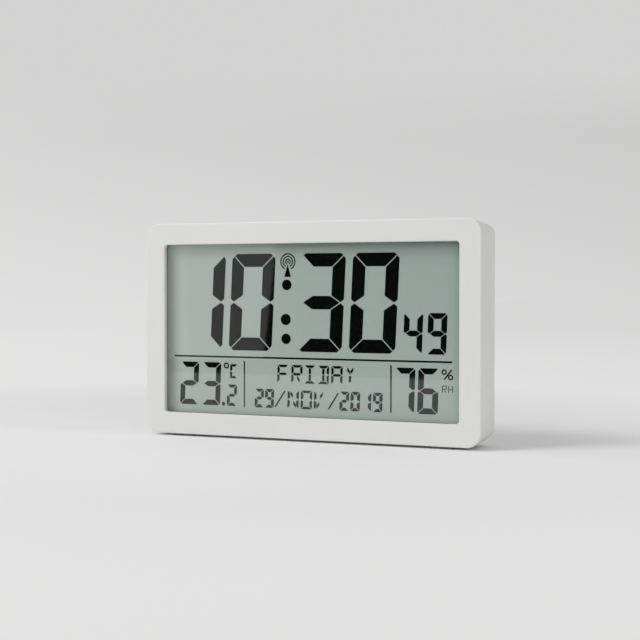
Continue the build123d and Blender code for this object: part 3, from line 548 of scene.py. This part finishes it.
def stroke_outlines(width, height, stroke, gap):
    """The outline of each stroke of a character, from the character's left foot."""
    middle = height / 2
    half = width / 2
    inner = 1.04 * stroke           # how far the upright strokes reach in
    waist = 0.27 * stroke           # how far their pointed ends at half height lie in
    wide = 1.06 * gap               # the gap at the pointed ends of the centre stroke

    def right(outline):
        return [(width - across, up) for across, up in outline]

    def low(outline):
        return [(across, height - up) for across, up in outline]

    top_left = [(0.19 * stroke + 0.35 * gap, height - 0.18 * stroke + 0.35 * gap),
                (0.41 * stroke + 0.1 * gap, height),
                (inner + 0.7 * gap, height - stroke)]
    top_right = right(top_left)
    top = [top_left[2], top_left[0], top_left[1], top_right[1], top_right[0], top_right[2]]
    upper = [(0.19 * stroke - 0.35 * gap, height - 0.18 * stroke - 0.35 * gap),
             (0.0, height - 0.41 * stroke - 0.1 * gap),
             (0.0, middle + 0.22 * stroke + 0.5 * gap),
             (waist, middle + 0.5 * gap),
             (inner, middle + 0.5 * (gap + stroke)),
             (inner, height - stroke - 0.7 * gap)]
    centre = [(waist + wide, middle),
              (inner + wide, middle + 0.5 * stroke),
              (width - inner - wide, middle + 0.5 * stroke),
              (width - waist - wide, middle),
              (width - inner - wide, middle - 0.5 * stroke),
              (inner + wide, middle - 0.5 * stroke)]
    post = [(half - 0.5 * stroke, height - stroke - 0.5 * gap),
            (half + 0.5 * stroke, height - stroke - 0.5 * gap),
            (half + 0.5 * stroke, middle + 0.5 * gap),
            (half - 0.5 * stroke, middle + 0.5 * gap)]
    slant = [(inner + 0.35 * gap, height - 0.3 * stroke),
             (inner + 0.35 * gap, height - 1.75 * stroke),
             (half - 0.1 * stroke, middle + 0.45 * stroke),
             (half - 0.1 * stroke, middle + 1.9 * stroke)]
    return {
        "a": top, "b": right(upper), "c": right(low(upper)), "d": low(top), "e": low(upper),
        "f": upper, "g": centre, "h": slant, "i": post, "k": right(slant), "l": low(post),
        "m": right(low(slant)), "n": low(slant),
    }


def write(work, cells, foot, width, height, stroke, gap, lean):
    """Draws characters; each cell gives its sign and the left edge at half its height."""
    outlines = stroke_outlines(width, height, stroke, gap)
    for sign, left in cells:
        for letter in strokes_of[sign]:
            area(work, [(left + across + lean * (up - height / 2), foot + up)
                        for across, up in outlines[letter]])


def driven(name, work, finish):
    """Ends a group of driven areas, which rides on the case with the glass that carries it."""
    finished(name, work, [finish], "case")


time_work = bmesh.new()
write(time_work, (("1", -81.55), ("0", -49.65), ("3", -6.15), ("0", 25.75)),
      foot=-12.05, width=27.6, height=55.1, stroke=7.45, gap=0.6, lean=0.05)
disc(time_work, (-13.75, 25.4), radius=3.0)
disc(time_work, (-14.4, 5.9), radius=3.15)
disc(time_work, (-14.2, -5.0), radius=2.95)
driven("time_digits", time_work, dark_sign)

seconds_work = bmesh.new()
write(seconds_work, (("4", 56.95), ("9", 70.8)),
      foot=-12.0, width=11.0, height=22.3, stroke=3.15, gap=0.35, lean=0.04)
driven("seconds_digits", seconds_work, dark_sign)

mast_work = bmesh.new()
mast_top = (-13.05, 38.45)
for reach in (4.8, 3.3, 1.8):
    arc(mast_work, mast_top, reach, line=0.7, start=radians(-65), sweep=radians(310))
disc(mast_work, mast_top, radius=0.6)
area(mast_work, ((-13.2, 37.1), (-15.25, 29.9), (-11.15, 29.9)))
driven("radio_sign", mast_work, dark_sign)

line_work = bmesh.new()
bar(line_work, (-87.1, -15.95), (84.8, -15.95), width=0.98)
bar(line_work, (-40.8, -18.1), (-40.8, -44.6), width=0.8)
bar(line_work, (49.6, -18.3), (49.6, -44.3), width=0.85)
driven("divider_lines", line_work, dark_sign)

temperature_work = bmesh.new()
write(temperature_work, (("2", -82.95), ("3", -68.35)),
      foot=-44.05, width=12.0, height=24.8, stroke=3.1, gap=0.42, lean=0.035)
write(temperature_work, (("2", -52.1),),
      foot=-44.1, width=6.3, height=12.3, stroke=1.75, gap=0.4, lean=0.035)
disc(temperature_work, (-54.5, -43.05), radius=1.1)
driven("temperature_digits", temperature_work, dark_sign)

degree_work = bmesh.new()
ring(degree_work, (-52.5, -20.95), radius=1.75, line=0.85)
write(degree_work, (("C", -50.1),),
      foot=-28.2, width=4.6, height=8.1, stroke=1.35, gap=0.12, lean=0.03)
driven("degree_sign", degree_work, dark_sign)

humidity_work = bmesh.new()
write(humidity_work, (("7", 51.65), ("6", 65.25)),
      foot=-44.3, width=11.8, height=24.8, stroke=3.2, gap=0.42, lean=0.035)
driven("humidity_digits", humidity_work, dark_sign)

percent_work = bmesh.new()
ring(percent_work, (80.35, -21.3), radius=1.5, line=0.75)
ring(percent_work, (83.95, -24.1), radius=1.5, line=0.75)
bar(percent_work, (80.4, -25.4), (84.6, -20.0), width=0.8)
driven("percent_sign", percent_work, dark_sign)

humidity_unit_work = bmesh.new()
write(humidity_unit_work, (("R", 79.1), ("H", 82.6)),
      foot=-32.7, width=2.75, height=4.2, stroke=0.5, gap=0.1, lean=0.0)
driven("humidity_unit", humidity_unit_work, pale_sign)

weekday_work = bmesh.new()
write(weekday_work, (("F", -19.7), ("R", -10.9), ("I", -2.8), ("D", 5.5), ("A", 13.8), ("Y", 21.8)),
      foot=-29.9, width=6.9, height=10.3, stroke=1.4, gap=0.4, lean=0.03)
driven("weekday_letters", weekday_work, dark_sign)

date_work = bmesh.new()
write(date_work, (("2", -34.1), ("9", -27.6), ("2", 18.9), ("0", 25.5), ("1", 32.2), ("9", 38.9)),
      foot=-44.3, width=5.7, height=10.7, stroke=1.8, gap=0.4, lean=0.035)
write(date_work, (("N", -13.3), ("O", -5.0), ("V", 3.2)),
      foot=-44.3, width=7.0, height=10.5, stroke=1.45, gap=0.4, lean=0.035)
bar(date_work, (-21.1, -43.6), (-14.9, -34.4), width=0.9)
bar(date_work, (12.0, -43.9), (18.1, -34.6), width=0.9)
driven("date_signs", date_work, dark_sign)


def turned(profile, steps):
    """A closed shape turned about the Y axis from its profile of radius and height."""
    work = bmesh.new()
    verts = [work.verts.new((radius, along, 0.0)) for radius, along in profile]
    edges = [work.edges.new(pair) for pair in zip(verts, verts[1:])]
    bmesh.ops.spin(work, geom=[*verts, *edges], cent=(0, 0, 0), axis=(0, 1, 0), dvec=(0, 0, 0),
                   angle=2 * pi, steps=steps, use_merge=True, use_duplicate=False)
    bmesh.ops.remove_doubles(work, verts=work.verts, dist=same_point)
    bmesh.ops.recalc_face_normals(work, faces=work.faces)
    return work


def cut_away(work, cutters):
    """Cuts worked meshes out of another one and gives back the rest."""
    blank = loose_object("blank", work)
    tools = [loose_object("cutter", cutter) for cutter in cutters]
    for tool in tools:
        cut = blank.modifiers.new("cut", "BOOLEAN")
        cut.operation = "DIFFERENCE"
        cut.solver = "EXACT"
        cut.object = tool
    shaped = blank.evaluated_get(bpy.context.evaluated_depsgraph_get())
    rest = bmesh.new()
    rest.from_mesh(shaped.data)
    for spent in (blank, *tools):
        bpy.data.objects.remove(spent)
    return rest


# Case screws: pan heads with a cross recess, each in its pocket of the rear cover
screws_low, screws_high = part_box("case_screws")
head_y = screws_high.y / MM
tip_y = screws_low.y / MM
head_radius = 2.4
head_height = 1.5
shank_radius = 1.1
recess_arm = 1.45
recess_width = 0.52
recess_depth = 0.9
recess_taper = 0.62
middle_turn = 0.3               # how far round a screw would be driven at the middle, in radians
turn_per_mm = 0.011

# Radius and distance in mm, from the tip up and then from the top of the head down
tip_profile = ((0.0, 0.0), (0.35, 0.1), (shank_radius, 1.6))
head_profile = ((shank_radius, head_height), (head_radius - 0.1, head_height),
                (head_radius, head_height - 0.15), (head_radius, 0.7), (head_radius - 0.25, 0.3),
                (head_radius - 0.8, 0.08), (0.0, 0.0))
screw_profile = [(radius, tip_y + above) for radius, above in tip_profile]
screw_profile += [(radius, head_y - below) for radius, below in head_profile]

recess_cutters = []
for reach_x, reach_z in ((recess_arm, recess_width), (recess_width, recess_arm)):
    cutter = bmesh.new()
    bmesh.ops.create_cube(cutter, size=1.0)
    bmesh.ops.scale(cutter, verts=cutter.verts, vec=(2 * reach_x, 2 * recess_depth, 2 * reach_z))
    recess_floor = [vert for vert in cutter.verts if vert.co.y < 0]
    bmesh.ops.scale(cutter, verts=recess_floor, vec=(recess_taper, 1.0, recess_taper))
    bmesh.ops.translate(cutter, verts=cutter.verts, vec=(0, head_y, 0))
    recess_cutters.append(cutter)

screw_work = cut_away(turned(screw_profile, steps=48), recess_cutters)
one_screw = [*screw_work.verts, *screw_work.edges, *screw_work.faces]
(first_across, first_height), *other_places = [
    (side * (screws_high.x / MM - head_radius), height)
    for side in (-1, 1)
    for height in (screws_low.z / MM + head_radius, screws_high.z / MM - head_radius)]
for across, height in other_places:
    copied = corners_of(bmesh.ops.duplicate(screw_work, geom=one_screw)["geom"])
    bmesh.ops.rotate(screw_work, verts=copied, cent=(0, 0, 0),
                     matrix=Matrix.Rotation(middle_turn + turn_per_mm * across, 3, "Y"))
    bmesh.ops.translate(screw_work, verts=copied, vec=(across, 0, height))
bmesh.ops.translate(screw_work, verts=corners_of(one_screw), vec=(first_across, 0, first_height))
screw_piece = finished("cross_head_screws", screw_work, [steel_finish], "case",
                       smooth_angle=radians(35))
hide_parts("case_screws")

# Cells: a sleeved can with a crimped shoulder, a bare base and a raised contact
cell_steel = plated("cell_steel", (0.62, 0.61, 0.58), roughness=0.3, draw_scales=(300, 900, 900))
bare_radius = 6.6
# Radius and distance from the base, in mm
cell_profile = ((0.0, 0.3), (4.4, 0.3), (4.8, 0.0), (6.3, 0.0), (6.6, 0.35), (6.75, 0.35),
                (7.1, 0.55), (7.25, 1.0), (7.25, 49.0), (7.05, 49.35), (6.6, 49.5), (5.9, 49.5),
                (5.8, 49.2), (4.6, 49.2), (4.4, 49.45), (2.95, 49.45), (2.75, 49.6), (2.75, 50.3),
                (2.5, 50.5), (0.0, 50.5))
for node, piece_name, quarter_turn in (("upper_cell", "upper_sleeved_cell", -pi / 2),
                                       ("lower_cell", "lower_sleeved_cell", pi / 2)):
    low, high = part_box(node)
    work = turned(cell_profile, steps=56)
    for face in work.faces:
        middle = face.calc_center_median()
        face.material_index = int(Vector((middle.x, middle.z)).length < bare_radius)
    base_x = low.x if quarter_turn < 0 else high.x
    bmesh.ops.rotate(work, verts=work.verts, cent=(0, 0, 0),
                     matrix=Matrix.Rotation(quarter_turn, 3, "Z"))
    bmesh.ops.translate(work, verts=work.verts,
                        vec=(base_x / MM, (low.y + high.y) / 2 / MM, (low.z + high.z) / 2 / MM))
    cell = finished(piece_name, work, [slot_finishes["cell_jacket"], cell_steel], "case",
                    smooth_angle=radians(30))
    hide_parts(node)

# Grip ridges of the battery door, beside its latch
door_low, door_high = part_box("battery_door")
ridge_count = 5
ridge_pitch = 1.6
lowest_ridge = 4.0              # above the lower edge of the door
ridge_size = (14.0, 0.5, 0.7, 1.0)
ridge_lift = 0.05               # from the door's face to the middle of a ridge
ridge_x = (door_low.x + door_high.x) / 2 / MM
ridge_y = door_high.y / MM + ridge_lift
ridge_work = bmesh.new()
for step in range(ridge_count):
    ridge_z = door_low.z / MM + lowest_ridge + ridge_pitch * step
    bmesh.ops.create_cube(ridge_work, size=1.0,
                          matrix=Matrix.Translation((ridge_x, ridge_y, ridge_z))
                          @ Matrix.Diagonal(ridge_size))
bmesh.ops.bevel(ridge_work, geom=list(ridge_work.edges), offset=0.14, segments=2, profile=0.5,
                affect="EDGES", material=-1)
finished("door_grip_ridges", ridge_work, [case_finish], "battery_door")

# ---------------------------------------------------------------- floor, light and camera

# Painted light: the floor's glow and the sky as they are seen, from left to right, lighter at the left
# and low down
near_left, near_right = (0.785, 0.785, 0.782), (0.745, 0.745, 0.742)
far_left, far_right = (0.745, 0.745, 0.742), (0.675, 0.675, 0.672)
high_left, high_right = (0.665, 0.665, 0.662), (0.60, 0.60, 0.597)
sky_top = (0.655, 0.655, 0.652)
# The sky as it lights the clock, from in front and from behind
front_sky_light, back_sky_light = (0.515, 0.515, 0.518), (0.63, 0.63, 0.633)
picture_right = (0.905, 0.424)  # the way across the picture, seen from above
floor_radius = 6.0
lamp_aim = (0.0, 0.0, 0.06)


def seen_directly(look):
    """1 for rays from the camera and those that gloss or glass sends on, 0 for lighting rays."""
    camera_ray, glossy_ray, passing_ray = (
        look.node("ShaderNodeLightPath", {}, {}, output)
        for output in ("Is Camera Ray", "Is Glossy Ray", "Is Transmission Ray"))
    return (camera_ray + glossy_ray + passing_ray).within(0.0, 1.0)


def picture_across(look, reach):
    """A share from 0 at the left of the picture to 1 at its right."""
    right_x, right_y = picture_right
    return (look.along("X") * right_x + look.along("Y") * right_y).within(-reach, reach)


def floor_finish():
    """A pale floor, made palest close in front of the clock by painted light, whose shadow fades out
    where the floor, as it is seen, glows with painted light.
    """
    finish = Finish("pale_floor", {"Roughness": 0.7, "Specular IOR Level": 0.2})
    cloud = finish.noise(2.5, detail=3.0).within(0.3, 0.7)
    distance = finish.away_from((0.0, 0.0, 0.0))
    # Painted light: the floor is made paler close in front of the clock, where the clock shades it
    painted_light_in_front = (1.0 - finish.along("Y").within(-0.03, 0.0)) * (1.0 - distance.within(0.06, 0.25))
    painted_light_floor_colour = finish.blend(cloud, (0.93, 0.93, 0.925), (0.95, 0.95, 0.945))
    wide = finish.blend(cloud, (0.82, 0.82, 0.815), (0.84, 0.84, 0.835))
    finish.feed({"Base Color": finish.blend(painted_light_in_front, wide, painted_light_floor_colour)})
    across = picture_across(finish, reach=0.4)
    # Painted light: past the shadow, the floor as it is seen glows in these colours
    painted_glow = finish.node("ShaderNodeEmission", {}, {
        "Color": finish.blend(distance.within(0.3, 2.2),
                              finish.blend(across, near_left, near_right),
                              finish.blend(across, far_left, far_right))})
    past_shadow = finish.away_from((-0.1, 0.0, 0.0)).within(0.225, 0.44)
    finish.close(past_shadow * seen_directly(finish), finish.surface, painted_glow)
    return finish


floor_work = bmesh.new()
bmesh.ops.create_circle(floor_work, cap_ends=True, segments=96, radius=floor_radius)
floor = loose_object("floor", floor_work)
floor.data.materials.append(floor_finish().material)

# A dark board in front of the clock, outside the view: it shows only in what mirrors it
board_finish = Finish("dark_board", {"Roughness": 0.9, "Specular IOR Level": 0.1})
board_finish.feed({"Base Color": board_finish.blend(board_finish.noise(3.0), (0.006, 0.006, 0.006),
                                                    (0.01, 0.01, 0.01))})
board_y = -0.5
board_outline = ((-0.40, 0.002), (0.165, 0.002), (0.165, 0.246), (-0.2506, 0.246), (-0.281, 0.016),
                 (-0.40, 0.016))
board_work = bmesh.new()
board_work.faces.new([board_work.verts.new((x, board_y, z)) for x, z in board_outline])
dark_board = loose_object("dark_board", board_work)
dark_board.data.materials.append(board_finish.material)
dark_board.visible_camera = False
dark_board.visible_diffuse = False
dark_board.visible_shadow = False
dark_board.visible_transmission = False

world = bpy.data.worlds.new("studio")
bpy.context.scene.world = world
world.use_nodes = True
sky = Look(world.node_tree)
# Painted light: the sky as it is seen is lighter at the left and low down
sky_across = picture_across(sky, reach=0.22)
sky_up = sky.along("Z")
sky_low = sky.blend(sky_up.within(-0.01, 0.10), sky.blend(sky_across, far_left, far_right),
                    sky.blend(sky_across, high_left, high_right))
sky_seen = sky.blend(sky_up.within(0.105, 0.145), sky_low, sky_top)
sky_light = sky.blend(sky.along("Y").within(-0.3, 0.6), front_sky_light, back_sky_light)
sky.fill(world.node_tree.nodes["Background"],
         {"Color": sky.blend(seen_directly(sky), sky_light, sky_seen)})


def set_up(holder, place, aim):
    """Puts a lamp or the camera in its place, turned towards its aim."""
    holder.location = place
    holder.rotation_euler = (Vector(aim) - Vector(place)).to_track_quat("-Z", "Y").to_euler()
    bpy.context.scene.collection.objects.link(holder)


def lamp(name, place, width, power, mirrored):
    light = bpy.data.lights.new(name, "AREA")
    light.shape = "SQUARE"
    light.size = width
    light.energy = power
    holder = bpy.data.objects.new(name, light)
    holder.visible_glossy = mirrored
    set_up(holder, place, lamp_aim)


lamp("key_light", (-1.13, -1.13, 1.60), width=0.9, power=20.9, mirrored=True)
lamp("front_light", (1.1, -1.1, 0.35), width=0.7, power=2.7, mirrored=False)

camera = bpy.data.cameras.new("camera")
camera.lens = 80
camera.sensor_width = 36
camera_holder = bpy.data.objects.new("camera", camera)
set_up(camera_holder, Vector((342.80, -726.06, 87.82)) * MM, Vector((9.48, -14.5, 68.2)) * MM)
bpy.context.scene.camera = camera_holder

bpy.context.scene.view_settings.view_transform = "Standard"
